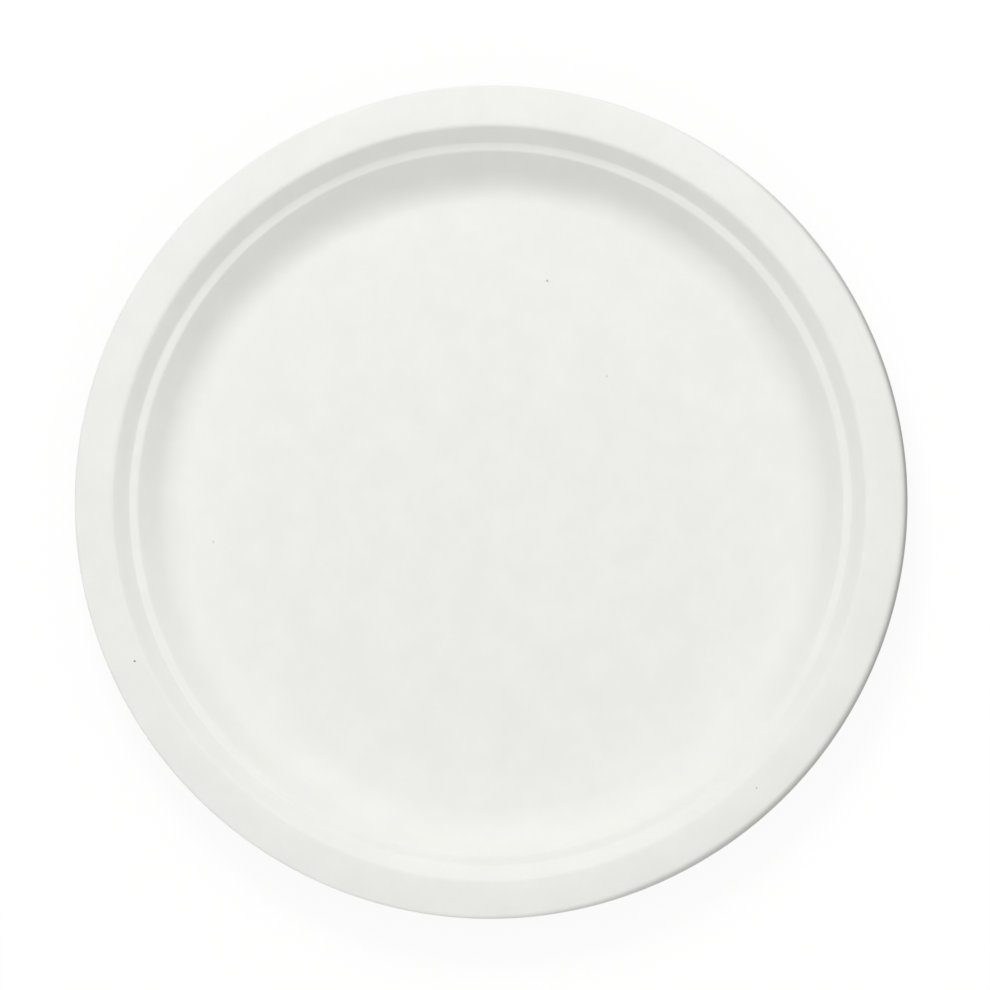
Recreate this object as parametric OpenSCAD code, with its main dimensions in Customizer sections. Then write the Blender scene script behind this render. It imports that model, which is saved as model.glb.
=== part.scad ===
// Round plate of moulded fibre, pressed as one thin wall of even thickness.
// From the middle outwards it has a broad base that is slightly raised inside the
// ring it stands on, a dished side wall, a narrow nesting ledge, a step up to a
// gently arched brim, and a short lip that rolls down from it and is trimmed at its edge.
// The section is drawn once, as the upper face, and the wall hangs below it.

/* [Plate] */
// Diameter over the outside of the lip
plate_d = 260; // [225:1:300]
// Height of the brim's crest above the table
plate_h = 20; // [18:0.5:26]
// Thickness of the pressed fibre wall
wall_t = 0.6; // [0.5:0.1:1]

/* [Base] */
// Height that the middle of the base is raised, so that the plate stands on a ring
base_rise = 0.5; // [0:0.1:1.2]
// Width of the flat ring that the plate stands on, up to where the side wall would start
foot_w = 16; // [12:0.5:24]
// Width of the slope from that ring up to the raised middle
rise_w = 34; // [20:1:50]
// Radius that eases the slope in and out
rise_curve = 1000; // [200:100:2000]
// Radius of the curve from the base into the side wall
base_curve = 12; // [6:0.5:16]

/* [Side wall] */
// Distance that the side wall runs outwards, between its corners as drawn sharp
wall_run = 8.6; // [7.6:0.2:16]
// Radius over the side wall's upper edge, where it meets the ledge
wall_edge = 1.5; // [1.2:0.1:2.5]

/* [Ledge] */
// Width of the nesting ledge
ledge_w = 2.7; // [2.2:0.1:5]
// Height that the ledge gains from its inner to its outer side
ledge_rise = 0.7; // [0:0.1:1.2]
// Radius of the corner where the ledge meets the step
ledge_corner = 1.2; // [0.5:0.1:2]

/* [Step] */
// Distance that the step runs outwards
step_run = 4.6; // [3.6:0.2:8]
// Height of the brim's crest above the ledge's outer side
step_h = 6.4; // [4:0.2:9]
// Radius over the step's upper edge, where it meets the brim
step_edge = 2; // [1.5:0.1:4]

/* [Brim and lip] */
// Width of the brim, from the step to the lip as drawn sharp
brim_w = 11.5; // [9:0.5:18]
// Fall of the brim towards the lip
brim_fall = 0.5; // [0.2:0.1:1.2]
// Radius of the brim's arch
brim_arch = 55; // [20:5:120]
// Radius of the lip, which rolls down from the brim
lip_edge = 3.2; // [2:0.1:4.5]
// Depth of the trimmed edge below the brim's crest
lip_drop = 1.8; // [1.6:0.1:4]
// Distance that the lip reaches beyond the brim as drawn sharp
lip_lean = 0.9; // [0.4:0.1:2.4]

/* [Hidden] */

// Largest distance between a curve of the section and the chords that draw it
chord_error = 0.02;
// Steps round the plate
$fn = 180;
// Share of a side that a rounding may use, where the corner at its other end is
// rounded too and where that end stays sharp
shared_side = 0.49;
free_side = 0.95;
// Smallest turn, in degrees, that counts as a corner
least_turn = 0.01;

// Radii of the upper face's sharp corners, from the outside inwards
lip_r = plate_d / 2;
brim_r = lip_r - lip_lean;
step_r = brim_r - brim_w;
ledge_out_r = step_r - step_run;
ledge_in_r = ledge_out_r - ledge_w;
base_r = ledge_in_r - wall_run;
foot_r = base_r - foot_w;
middle_r = foot_r - rise_w;

// Heights of the upper face
base_z = wall_t;
ledge_z = plate_h - step_h;

// Sharp corners of the upper face with the radius that rounds each one,
// from the axis outwards to the trimmed edge: [radius from axis, height, rounding]
corners = [
    [0, base_z + base_rise, 0],
    [middle_r, base_z + base_rise, rise_curve],
    [foot_r, base_z, rise_curve],
    [base_r, base_z, base_curve],
    [ledge_in_r, ledge_z - ledge_rise, wall_edge],
    [ledge_out_r, ledge_z, ledge_corner],
    [step_r, plate_h, step_edge],
    [(step_r + brim_r) / 2, plate_h, brim_arch],
    [brim_r, plate_h - brim_fall, lip_edge],
    [lip_r, plate_h - lip_drop, 0],
];

function flat(corner) = [corner[0], corner[1]];

function heading(from, to) = atan2(to[1] - from[1], to[0] - from[0]);

// Length of the side between two corners that a rounding at one end may use
function room(end, other) =
    norm(flat(end) - flat(other)) * (other[2] > 0 ? shared_side : free_side);

// Length of a corner's rounding along each of its sides, limited by the sides
function setback(before, corner, after) =
    let (turn = abs(heading(corner, after) - heading(before, corner)))
    min(corner[2] * tan(turn / 2), room(corner, before), room(corner, after));

// Stations round one corner: [radius from axis, height, heading of the face there]
function rounded(before, corner, after) =
    let (
        start_heading = heading(before, corner),
        turn = heading(corner, after) - start_heading,
        side = sign(turn),
        back = setback(before, corner, after),
        radius = back / tan(abs(turn) / 2),
        start = flat(corner) - back * [cos(start_heading), sin(start_heading)],
        centre = start - side * radius * [sin(start_heading), -cos(start_heading)],
        chord_turn = 2 * acos(1 - chord_error / radius),
        steps = ceil(abs(turn) / chord_turn)
    )
    [for (i = [0 : steps])
        let (
            angle = start_heading + turn * i / steps,
            point = centre + side * radius * [sin(angle), -cos(angle)]
        )
        [point[0], point[1], angle]];

// A corner that needs no rounding keeps its sharp point
function station(i) =
    let (
        before = corners[i - 1],
        corner = corners[i],
        after = corners[i + 1],
        turn = heading(corner, after) - heading(before, corner)
    )
    abs(turn) < least_turn || corner[2] == 0
        ? [[corner[0], corner[1], heading(corner, after)]]
        : rounded(before, corner, after);

last = len(corners) - 1;
section = [
    [corners[0][0], corners[0][1], 0],
    for (i = [1 : last - 1]) each station(i),
    [corners[last][0], corners[last][1], heading(corners[last - 1], corners[last])],
];

// The upper face as stations, and the lower face one wall square below it
upper_face = [for (s = section) [s[0], s[1]]];
lower_face = [for (s = section) [s[0] + wall_t * sin(s[2]), s[1] - wall_t * cos(s[2])]];

module wall_section() {
    back_inwards = [for (i = [len(lower_face) - 1 : -1 : 0]) lower_face[i]];
    polygon(concat(upper_face, back_inwards));
}

module plate() {
    color("ivory")
        rotate_extrude() wall_section();
}

plate();
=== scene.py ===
import bpy
import numpy as np
from mathutils import Matrix, Vector


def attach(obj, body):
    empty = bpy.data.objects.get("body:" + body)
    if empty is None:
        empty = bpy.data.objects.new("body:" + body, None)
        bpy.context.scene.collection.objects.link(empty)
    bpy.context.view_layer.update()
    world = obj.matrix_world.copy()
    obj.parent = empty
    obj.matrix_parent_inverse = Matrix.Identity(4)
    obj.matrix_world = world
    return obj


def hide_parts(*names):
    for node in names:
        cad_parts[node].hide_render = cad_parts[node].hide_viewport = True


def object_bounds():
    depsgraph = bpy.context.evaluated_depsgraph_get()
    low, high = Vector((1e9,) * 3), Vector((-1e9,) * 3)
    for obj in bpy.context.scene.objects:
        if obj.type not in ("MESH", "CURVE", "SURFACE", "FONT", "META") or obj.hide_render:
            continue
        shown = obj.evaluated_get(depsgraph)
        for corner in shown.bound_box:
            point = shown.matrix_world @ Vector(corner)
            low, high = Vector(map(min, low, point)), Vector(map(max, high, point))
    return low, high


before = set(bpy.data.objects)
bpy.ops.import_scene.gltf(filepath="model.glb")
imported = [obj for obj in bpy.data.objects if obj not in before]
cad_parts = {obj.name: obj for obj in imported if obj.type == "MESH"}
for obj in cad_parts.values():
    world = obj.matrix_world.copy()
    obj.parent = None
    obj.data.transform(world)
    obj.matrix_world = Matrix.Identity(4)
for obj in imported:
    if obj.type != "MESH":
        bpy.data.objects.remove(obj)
cad_low, cad_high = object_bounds()


# The pressed wall.
# Bleached plant fibre, drawn from water onto a wire screen and pressed hot between two moulds, all in one
# thickness: base, side, nesting ledge, step, arched brim, and a lip that rolls down and is trimmed.
mm = 0.001
lip_r = cad_high.x
crest_z = cad_high.z
# Thickness, rise of the base's middle, and the section's sizes from the lip in to the slope of the base
wall_t = 0.6 * mm
base_rise = 0.5 * mm
lip_lean = 0.9 * mm
lip_drop = 1.8 * mm
lip_round = 2.1 * mm
brim_w = 11.5 * mm
brim_fall = 0.5 * mm
step_run = 4.6 * mm
step_h = 6.4 * mm
ledge_w = 2.7 * mm
ledge_rise = 0.7 * mm
wall_run = 8.6 * mm
foot_w = 16.0 * mm
rise_w = 34.0 * mm
# Radii that round the section's corners, from the raised base out to the brim
rise_curve = 1000 * mm
base_curve = 12 * mm
wall_edge = 1.5 * mm
ledge_corner = 1.2 * mm
step_edge = 2 * mm
brim_arch = 55 * mm

brim_r = lip_r - lip_lean
step_r = brim_r - brim_w
ledge_out_r = step_r - step_run
ledge_in_r = ledge_out_r - ledge_w
base_r = ledge_in_r - wall_run
foot_r = base_r - foot_w
middle_r = foot_r - rise_w
ledge_z = crest_z - step_h

# The mould's lip is an arc that carries on from the brim. It starts short of the brim's sharp corner by its
# radius times the tangent of half the turn
brim_tilt = np.arctan2(brim_fall, brim_w / 2)
lip_tilt = np.arctan2(lip_drop - brim_fall, lip_lean)
setback = lip_round * np.tan((lip_tilt - brim_tilt) / 2)
lip_start_r = brim_r - setback * np.cos(brim_tilt)
lip_start_z = crest_z - brim_fall + setback * np.sin(brim_tilt)

# The upper face's sharp corners, from the axis outwards: distance from the axis, height, and rounding
corners = [
    (0, wall_t + base_rise, 0),
    (middle_r, wall_t + base_rise, rise_curve),
    (foot_r, wall_t, rise_curve),
    (base_r, wall_t, base_curve),
    (ledge_in_r, ledge_z - ledge_rise, wall_edge),
    (ledge_out_r, ledge_z, ledge_corner),
    (step_r, crest_z, step_edge),
    ((step_r + brim_r) / 2, crest_z, brim_arch),
    (lip_start_r, lip_start_z, 0),
]


def rounded_line(corners, arc_step, more_steps):
    """Rounds the inner corners of a line and returns rows of distance from the axis, height and heading.

    Each corner gives way to an arc that touches both of its sides. It starts short of the corner by its
    radius times the tangent of half the turn, and its centre lies one radius square to the first side. A
    point on it is the centre less the radius square to the heading, while the heading turns evenly, with a
    point for each arc_step and a few more.
    """
    points = np.array(corners)[:, :2]
    sides = np.diff(points, axis=0)
    headings = np.arctan2(sides[:, 1], sides[:, 0])
    rows = [[*points[0], headings[0]]]
    radii = np.array(corners)[1:-1, 2]
    for corner, radius, before, after in zip(points[1:], radii, headings, headings[1:]):
        turn = after - before
        side = np.sign(turn)
        start = corner - radius * np.tan(abs(turn) / 2) * np.array([np.cos(before), np.sin(before)])
        centre = start + side * radius * np.array([-np.sin(before), np.cos(before)])
        steps = int(np.ceil(radius * abs(turn) / arc_step)) + more_steps
        heading = before + turn * np.linspace(0, 1, steps)
        square = np.stack([-np.sin(heading), np.cos(heading)], axis=1)
        rows.extend(np.column_stack([centre - side * radius * square, heading]))
    rows.append([*points[-1], headings[-1]])
    return np.array(rows)


def finer(line, gap_inside, gap_outside, border):
    """Adds evenly spaced points to a line, with one gap inside the border radius and another outside it. It
    leaves out those that would lie within a third of the outer gap of a point that is there. Each value is
    read off in proportion to the length run so far.
    """
    run = np.concatenate([[0], np.cumsum(np.hypot(*np.diff(line[:, :2], axis=0).T))])
    border_run = np.interp(border, line[:, 0], run)
    added_inside = np.arange(0, border_run, gap_inside)
    added = np.concatenate([added_inside, np.arange(border_run, run[-1], gap_outside)])
    clear = np.min(np.abs(added[:, None] - run), axis=1) > gap_outside / 3
    every = np.sort(np.concatenate([run, added[clear]]))
    return np.stack([np.interp(every, run, column) for column in line.T], axis=1)


upper = rounded_line(corners, arc_step=1.1 * mm, more_steps=3)
upper = finer(upper, gap_inside=6 * mm, gap_outside=2.2 * mm, border=foot_r)
square_in = np.stack([np.sin(upper[:, 2]), -np.cos(upper[:, 2])], axis=1)
lower = upper[:, :2] + wall_t * square_in

# Stations of the lip, out along its upper face, round the cut and back: share of its turn, share of the
# straight skirt after the turn, depth below the upper face, and bulge of the cut, because the blade drags
# the fibres over
cut_bulge = 0.12 * mm
turn_steps, skirt_steps, cut_steps = 6, 3, 6
outwards = np.arange(1, turn_steps + skirt_steps + 1)
turn_out = np.minimum(outwards, turn_steps) / turn_steps
skirt_out = np.maximum(outwards - turn_steps, 0) / skirt_steps
cut_turn = np.linspace(0, np.pi, cut_steps + 1)[1:-1]
at_cut = np.ones(len(cut_turn))
lip_turn = np.concatenate([turn_out, at_cut, turn_out[::-1]])
lip_skirt = np.concatenate([skirt_out, at_cut, skirt_out[::-1]])
lip_depth = np.concatenate([0 * turn_out, (1 - np.cos(cut_turn)) / 2 * wall_t, wall_t + 0 * turn_out])
lip_bulge = np.concatenate([0 * turn_out, np.sqrt(np.sin(cut_turn)) * cut_bulge, 0 * turn_out])


def share(value, start, end):
    """Runs from 0 at start to 1 at end, level at both: t squared times (3 - 2 t)."""
    t = np.clip((value - start) / (end - start), 0, 1)
    return t * t * (3 - 2 * t)


steps_round = 480
mould_shift = (-0.5 * mm, -0.25 * mm)
# Height of the base's unevenness, and its waves' number, least and greatest length
relief_h = 0.05 * mm
relief_waves = 8
relief_least, relief_most = 34 * mm, 90 * mm
# Sag of the brim, in waves: how many round the plate, share of the sag, and start
brim_sag = 0.22 * mm
sag_waves = [(2, 0.3, 0.7), (3, 0.2, 2.1)]
# Roughness of the cut, in waves: their number, and the least and greatest count round the plate
cut_rough = 0.04 * mm
cut_waves = 24
cut_least, cut_most = 11, 90
# Bearing on which the lip is rolled over furthest, and the cosine of the angle from it at which its tilt
# and its skirt begin to grow
roll_bearing = np.radians(-12)
tilt_from, skirt_from = -0.2, 0.3
tilt_least, tilt_most = np.radians([25, 82])
skirt_least, skirt_most = 0.12 * mm, 3.4 * mm
chance = np.random.default_rng(7)


def relief(x, y):
    """Slight unevenness of the base, faded out before the ring that the plate stands on. It is the mean of
    plane waves, each the sine of its start plus 2 pi times the lengths run along its own direction."""
    least, most = [relief_least, 0, 0], [relief_most, np.pi, 2 * np.pi]
    length, turn, start = chance.uniform(least, most, (relief_waves, 3)).T
    turns = np.multiply.outer(x, np.cos(turn) / length) + np.multiply.outer(y, np.sin(turn) / length)
    wave = np.sin(2 * np.pi * turns + start).sum(axis=-1) / relief_waves
    return relief_h * wave * (1 - share(np.hypot(x, y), middle_r, foot_r))


def wall_surface(angle):
    """The section turned round the mould's axis: x and y are the radius times the angle's cosine and sine,
    plus mould_shift, because the die that trims the lip sits that far off the mould's axis.

    The die cuts on its own circle, which lies at the radius r for which r squared + 2 r (shift along the
    angle) + shift squared is the circle's radius squared. The lip is rolled over further on one side: its
    tilt at the cut runs from tilt_least to tilt_most, and the straight skirt that follows from skirt_least
    to skirt_most. So the lip starts at r - rounding (sine of that tilt - sine at its start) - skirt (cosine
    of that tilt), and the brim is as wide as that leaves it. A station of the lip lies at rounding - depth
    from the arc's centre, and so far along the skirt. The brim sags in cosine waves, each with its share,
    and the cut is ragged by sine waves of one height, each with its own count and start.
    """
    trim_r = lip_r - cut_bulge
    ahead = mould_shift[0] * np.cos(angle) + mould_shift[1] * np.sin(angle)
    edge_r = np.sqrt(trim_r**2 - np.hypot(*mould_shift) ** 2 + ahead**2) - ahead
    rolled = np.cos(angle - roll_bearing)
    end_tilt = tilt_least + (tilt_most - tilt_least) * share(rolled, tilt_from, 1)
    skirt = skirt_least + (skirt_most - skirt_least) * share(rolled, skirt_from, 1)
    start_r = edge_r - lip_round * (np.sin(end_tilt) - np.sin(brim_tilt)) - skirt * np.cos(end_tilt)
    tilt = brim_tilt + lip_turn[:, None] * (end_tilt - brim_tilt)
    centre_r = start_r - lip_round * np.sin(brim_tilt)
    centre_z = lip_start_z - lip_round * np.cos(brim_tilt)
    from_centre = lip_round - lip_depth[:, None]
    along = skirt * lip_skirt[:, None] + lip_bulge[:, None]
    lip_radius = centre_r + from_centre * np.sin(tilt) + along * np.cos(tilt)
    lip_height = centre_z + from_centre * np.cos(tilt) - along * np.sin(tilt)

    wider = share(upper[:, :1], step_r, lip_start_r) * (start_r - lip_start_r)
    level = np.zeros_like(angle)
    radius = np.concatenate([upper[:, :1] + wider, lip_radius, (lower[:, :1] + wider)[::-1]])
    height = np.concatenate([upper[:, 1:2] + level, lip_height, lower[::-1, 1:] + level])
    out_share = np.concatenate([np.zeros(len(upper)), lip_turn, np.zeros(len(lower))])[:, None]

    waves = sum(part * np.cos(count * angle + start) for count, part, start in sag_waves)
    sag = brim_sag * (sum(part for count, part, start in sag_waves) - waves)
    count = chance.integers(cut_least, cut_most, cut_waves)
    start = chance.uniform(0, 2 * np.pi, cut_waves)
    ragged = np.sin(np.multiply.outer(angle, count) + start).sum(axis=-1) / np.sqrt(cut_waves)

    x = radius * np.cos(angle) + mould_shift[0]
    y = radius * np.sin(angle) + mould_shift[1]
    z = height + relief(x, y) - sag * share(radius, ledge_out_r, brim_r) + cut_rough * ragged * out_share
    return np.stack([x, y, z], axis=-1)


grid = wall_surface(2 * np.pi * np.arange(steps_round) / steps_round)
rings = len(grid) - 2

# The first and last stations lie on the axis, so each is one point with a fan of triangles round it
points = np.concatenate([grid[:1, 0], grid[1:-1].reshape(-1, 3), grid[-1:, 0]])
along = np.arange(steps_round)
beside = (along + 1) % steps_round
inner = 1 + steps_round * np.arange(rings - 1)[:, None]
outer = inner + steps_round
quads = np.stack([inner + along, outer + along, outer + beside, inner + beside], axis=-1).reshape(-1, 4)
last = 1 + steps_round * (rings - 1)
top_fan = np.stack([0 * along, 1 + along, 1 + beside], axis=-1)
under_fan = np.stack([0 * along + len(points) - 1, last + beside, last + along], axis=-1)

mesh = bpy.data.meshes.new("pressed_plate")
mesh.from_pydata(points, [], quads.tolist() + top_fan.tolist() + under_fan.tolist())
mesh.shade_smooth()
plate = bpy.data.objects.new("pressed_plate", mesh)
bpy.context.scene.collection.objects.link(plate)


def mark(mesh, name, by_station):
    """Gives every point of the wall a number that depends on its station alone, for the material to read:
    the first and last stations' once, and each other one's once for every step round."""
    values = np.concatenate([by_station[:1], np.repeat(by_station[1:-1], steps_round), by_station[-1:]])
    mesh.attributes.new(name, "FLOAT", "POINT").data.foreach_set("value", values.astype(np.float32))


# 0 on the eating face, 1 on the face that lay on the wire screen
lip_screen = lip_depth / wall_t
mark(mesh, "screen_side", np.concatenate([np.zeros(len(upper)), lip_screen, np.ones(len(lower))]))
# 0 on the pressed faces, 1 at the trimmed edge, where the fibres stand open. It grows from this share of
# the lip's turn on
open_from = 0.2
lip_open = share(lip_turn, open_from, 1)
mark(mesh, "open_fibre", np.concatenate([np.zeros(len(upper)), lip_open, np.zeros(len(lower))]))


# Moulded fibre.
# Bleached cane pulp, hot pressed and left bare: a matt, slightly warm white. The eye sees soft clouds where
# it lay thicker, short hairs, a fine grain, and the print of the wire screen on the underside.
def linear(hex_colour):
    """Turns an sRGB hex colour into linear red, green, blue and alpha: each value plus 0.055, divided by
    1.055 and taken to the power 2.4, or divided by 12.92 near black."""
    srgb = np.array([int(hex_colour[i : i + 2], 16) for i in (1, 3, 5)]) / 255
    return (*np.where(srgb > 0.04045, ((srgb + 0.055) / 1.055) ** 2.4, srgb / 12.92), 1)


def add(tree, kind, inputs=(), **settings):
    """Adds a node with its settings, and gives each input a value or the output of another node."""
    node = tree.nodes.new("ShaderNode" + kind)
    for name, value in settings.items():
        setattr(node, name, value)
    for name, value in dict(inputs).items():
        if isinstance(value, bpy.types.NodeSocket):
            tree.links.new(value, node.inputs[name])
        else:
            node.inputs[name].default_value = value
    return node


pulp_light = linear("#F0F0EC")
pulp_shade = linear("#EDEEE9")
bran_speck = linear("#7B786C")
cloud_size = 13 * mm
hair_length = 3.2 * mm
hair_width = 0.4 * mm
grain_size = 0.8 * mm
screen_pitch = 1.5 * mm
grain_height = 0.012 * mm
hair_height = 0.008 * mm
screen_height = 0.07 * mm
# How many times as high the grain stands at the trimmed edge
edge_grain = 6.0
# Stretches of the noise over which a cloud and a hair go from nothing to full, and the hairs' directions
cloud_from, cloud_full = 0.35, 0.65
hair_from, hair_full = 0.58, 0.74
hair_turns = (0.2, 1.3, 2.35)
# Roughness of the surface, from the grain's hollows to its tops
rough_least, rough_most = 0.82, 0.95
# Each speck's place, seen from above, its radius, and the share of its tone that shows through the pulp. A
# third of the way out it begins to fade
specks = [
    (-111.0, -49.7, 0.48, 0.88),
    (-88.2, -11.8, 0.50, 0.27),
    (16.9, 70.0, 0.49, 0.66),
    (82.9, -89.3, 0.37, 0.58),
    (35.7, 39.9, 0.48, 0.30),
]

fibre = bpy.data.materials.new("bleached_moulded_fibre")
fibre.use_nodes = True
tree = fibre.node_tree
tree.nodes.clear()
place = add(tree, "TexCoord").outputs["Object"]

cloud = add(tree, "TexNoise", {"Vector": place, "Scale": 1 / cloud_size, "Detail": 3.0, "Roughness": 0.6})
heaped = {"Value": cloud.outputs["Fac"], "From Min": cloud_from, "From Max": cloud_full}
cloudy = add(tree, "MapRange", heaped).outputs["Result"]

# Hairs are noise drawn out along three directions, of which only the peaks show. Real ones are a tenth of a
# millimetre wide, so these are drawn as coarse as they need to show
hairs = 0.0
for turn in hair_turns:
    turned = add(tree, "Mapping", {"Vector": place, "Rotation": (0, 0, turn)})
    size = (1 / hair_length, 1 / hair_width, 1 / hair_width)
    sized = add(tree, "Mapping", {"Vector": turned.outputs["Vector"], "Scale": size}).outputs["Vector"]
    strand = add(tree, "TexNoise", {"Vector": sized, "Scale": 1.0, "Detail": 1.0})
    peaks = {"Value": strand.outputs["Fac"], "From Min": hair_from, "From Max": hair_full}
    peak = add(tree, "MapRange", peaks).outputs["Result"]
    hairs = add(tree, "Math", {0: hairs, 1: peak}, operation="MAXIMUM").outputs["Value"]

grain = add(tree, "TexNoise", {"Vector": place, "Scale": 1 / grain_size, "Detail": 2.0, "Roughness": 0.6})

# Specks of bran lie where the photograph shows them, and go right through the wall
above = add(tree, "Mapping", {"Vector": place, "Scale": (1, 1, 0)}).outputs["Vector"]
dots = 0.0
for x, y, radius, shown in specks:
    gap = add(tree, "VectorMath", {0: above, 1: (x * mm, y * mm, 0)}, operation="DISTANCE")
    span = {"From Min": radius * mm, "From Max": radius * mm / 3, "To Max": shown}
    dot = add(tree, "MapRange", {"Value": gap.outputs["Value"], **span}).outputs["Result"]
    dots = add(tree, "Math", {0: dots, 1: dot}, operation="MAXIMUM").outputs["Value"]

# The wire screen's print is the product of a sine along x and one along y. The heights of the grain and the
# hairs are taken as shares of its own
axes = add(tree, "SeparateXYZ", {"Vector": place})
waves = []
for axis in ("X", "Y"):
    phase = add(tree, "Math", {0: axes.outputs[axis], 1: 2 * np.pi / screen_pitch}, operation="MULTIPLY")
    waves.append(add(tree, "Math", {0: phase.outputs["Value"]}, operation="SINE").outputs["Value"])
knuckles = add(tree, "Math", {0: waves[0], 1: waves[1]}, operation="MULTIPLY").outputs["Value"]
under = add(tree, "Attribute", attribute_name="screen_side").outputs["Fac"]
screened = add(tree, "Math", {0: knuckles, 1: under}, operation="MULTIPLY").outputs["Value"]

open_edge = add(tree, "Attribute", attribute_name="open_fibre").outputs["Fac"]
raised = {0: open_edge, 1: edge_grain - 1, 2: 1.0}
coarser = add(tree, "Math", raised, operation="MULTIPLY_ADD").outputs["Value"]
grain_up = {0: grain.outputs["Fac"], 1: grain_height / screen_height}
grained = add(tree, "Math", grain_up, operation="MULTIPLY").outputs["Value"]
rough = add(tree, "Math", {0: grained, 1: coarser}, operation="MULTIPLY").outputs["Value"]
hair_up = {0: hairs, 1: hair_height / screen_height, 2: rough}
haired = add(tree, "Math", hair_up, operation="MULTIPLY_ADD").outputs["Value"]
height = add(tree, "Math", {0: haired, 1: screened}, operation="ADD").outputs["Value"]
bump = add(tree, "Bump", {"Height": height, "Distance": screen_height}).outputs["Normal"]

clouds = {"Factor": cloudy, "A": pulp_shade, "B": pulp_light}
cloud_tone = add(tree, "Mix", clouds, data_type="RGBA").outputs["Result"]
spots = {"Factor": dots, "A": cloud_tone, "B": bran_speck}
pulp_tone = add(tree, "Mix", spots, data_type="RGBA").outputs["Result"]
matt_span = {"Value": grain.outputs["Fac"], "To Min": rough_least, "To Max": rough_most}
roughness = add(tree, "MapRange", matt_span).outputs["Result"]
finish = {"Base Color": pulp_tone, "Roughness": roughness, "Normal": bump}
surface = add(tree, "BsdfPrincipled", finish)
add(tree, "OutputMaterial", {"Surface": surface.outputs["BSDF"]})
mesh.materials.append(fibre)

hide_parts("plate")
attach(plate, "root")


# The table.
# A sheet of white card, too wide to show its edge. Round the plate the camera sees it as white, while it
# throws back only the light of a grey card. Below the brim it is plain white card in the plate's shadow.
card_half = 6.0
card_corners = card_half * np.array([(-1, -1, 0), (1, -1, 0), (1, 1, 0), (-1, 1, 0)])
card = bpy.data.meshes.new("table_card")
card.from_pydata(card_corners, [], [(0, 1, 2, 3)])
table = bpy.data.objects.new("table_card", card)
table.location.z = cad_low.z
bpy.context.scene.collection.objects.link(table)

card_grey = linear("#595958")
card_white = linear("#E6E6E4")
glow_round = 0.91
glow_below = 0.2
card_stock = bpy.data.materials.new("matt_white_card")
card_stock.use_nodes = True
tree = card_stock.node_tree
tree.nodes.clear()
place = add(tree, "TexCoord").outputs["Object"]
from_axis = add(tree, "VectorMath", {0: place}, operation="LENGTH").outputs["Value"]
beyond = {"Value": from_axis, "From Min": step_r, "From Max": lip_r}
round_it = add(tree, "MapRange", beyond, interpolation_type="SMOOTHSTEP").outputs["Result"]
tones = {"Factor": round_it, "A": card_white, "B": card_grey}
card_tone = add(tree, "Mix", tones, data_type="RGBA").outputs["Result"]
matt = add(tree, "BsdfDiffuse", {"Color": card_tone})

rays = add(tree, "LightPath")
looks = {0: rays.outputs["Is Camera Ray"], 1: rays.outputs["Is Glossy Ray"]}
seen = add(tree, "Math", looks, operation="MAXIMUM").outputs["Value"]
glow_here = add(tree, "MapRange", {"Value": round_it, "To Min": glow_below, "To Max": glow_round})
glow_size = add(tree, "Math", {0: seen, 1: glow_here.outputs["Result"]}, operation="MULTIPLY")
glow = add(tree, "Emission", {"Color": (1, 1, 1, 1), "Strength": glow_size.outputs["Value"]})
both = add(tree, "AddShader", {0: matt.outputs["BSDF"], 1: glow.outputs["Emission"]})
add(tree, "OutputMaterial", {"Surface": both.outputs["Shader"]})
card.materials.append(card_stock)


# The light.
# A pale room gives half of it. The rest comes from soft boxes: a strong one on the far side, a weaker one
# across from it, and two faint, lower ones on the right and on the near side.
room_light = 0.475
world = bpy.data.worlds.new("pale_room")
bpy.context.scene.world = world
world.use_nodes = True
tree = world.node_tree
tree.nodes.clear()
rays = add(tree, "LightPath")
looks = {0: rays.outputs["Is Camera Ray"], 1: rays.outputs["Is Glossy Ray"]}
seen = add(tree, "Math", looks, operation="MAXIMUM").outputs["Value"]
strength = add(tree, "MapRange", {"Value": seen, "To Min": room_light, "To Max": 1.0})
room = add(tree, "Background", {"Color": (1, 1, 1, 1), "Strength": strength.outputs["Result"]})
add(tree, "OutputWorld", {"Surface": room.outputs["Background"]})


box_distance = 1.8
box_side = 0.7


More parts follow.
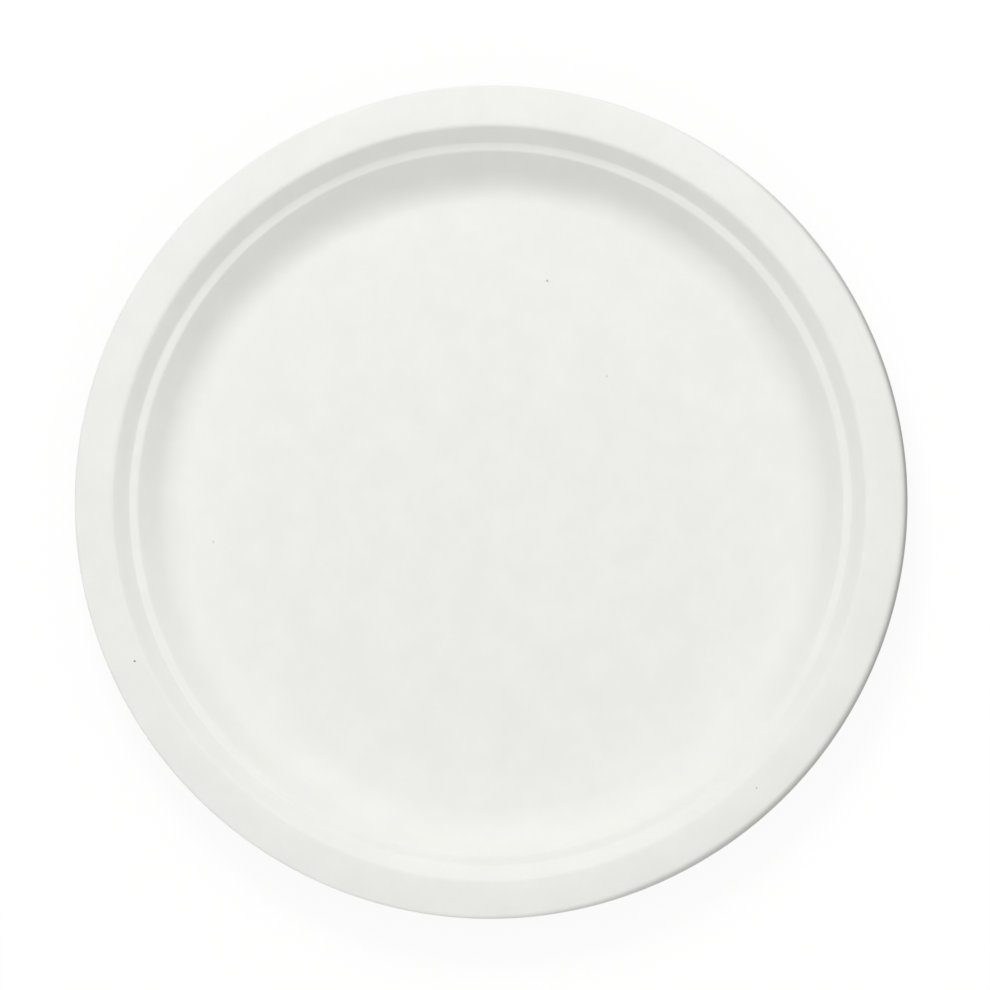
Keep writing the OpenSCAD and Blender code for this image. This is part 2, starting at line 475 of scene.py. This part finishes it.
def soft_box(name, bearing, elevation, watts):
    """A square lamp that faces the plate from a bearing, counted in degrees anticlockwise from +X, and an
    elevation above the table. Its place is the cosines and sines of those angles times box_distance."""
    bearing, elevation = np.radians([bearing, elevation])
    level = np.cos(elevation)
    towards = Vector((np.cos(bearing) * level, np.sin(bearing) * level, np.sin(elevation)))
    lamp = bpy.data.lights.new(name, "AREA")
    lamp.size = box_side
    lamp.energy = watts
    box = bpy.data.objects.new(name, lamp)
    box.location = towards * box_distance
    box.rotation_euler = towards.to_track_quat("Z", "Y").to_euler()
    box.visible_camera = False
    bpy.context.scene.collection.objects.link(box)


soft_box("far_box", bearing=105, elevation=49, watts=16.0)
soft_box("near_box", bearing=285, elevation=46, watts=4.0)
soft_box("right_box", bearing=45, elevation=34, watts=1.9)
soft_box("low_near_box", bearing=270, elevation=10, watts=2.5)


# The camera.
# It looks down from the near right side, a few degrees off the axis, so that the base lies off the middle
# of the lip's outline. In the photograph that outline is a circle of known centre and radius.
picture_w = 990
outline_x, outline_y, outline_r = 491.44, 502.30, 416.6
view_distance = 2.5
view_tilt = np.radians(4.1)
view_bearing = np.radians(-36)
# The tilted circle is drawn a little narrower one way, so its mean radius is the one that is matched
px = lip_r * (1 + np.cos(view_tilt)) / 2 / outline_r

near = Vector((np.cos(view_bearing), np.sin(view_bearing), 0))
back = near * np.sin(view_tilt) + Vector((0, 0, np.cos(view_tilt)))
right = Vector((0, 1, 0)).cross(back).normalized()
up = back.cross(right)
# Its near half is drawn larger, which moves its middle by the radius squared times sin(tilt) / distance
drawn_middle = Vector((0, 0, crest_z - lip_drop)) + near * (lip_r**2 * np.sin(view_tilt) / view_distance)
aim = drawn_middle + right * (picture_w / 2 - outline_x) * px + up * (outline_y - picture_w / 2) * px

lens = bpy.data.cameras.new("view")
lens.sensor_width = 36
lens.lens = view_distance * lens.sensor_width / (picture_w * px)
lens.clip_start = 0.05
lens.clip_end = 50
camera = bpy.data.objects.new("view", lens)
camera.location = aim + back * view_distance
camera.rotation_euler = Matrix((right, up, back)).transposed().to_euler()
bpy.context.scene.collection.objects.link(camera)
bpy.context.scene.camera = camera

bpy.context.scene.view_settings.view_transform = "Standard"
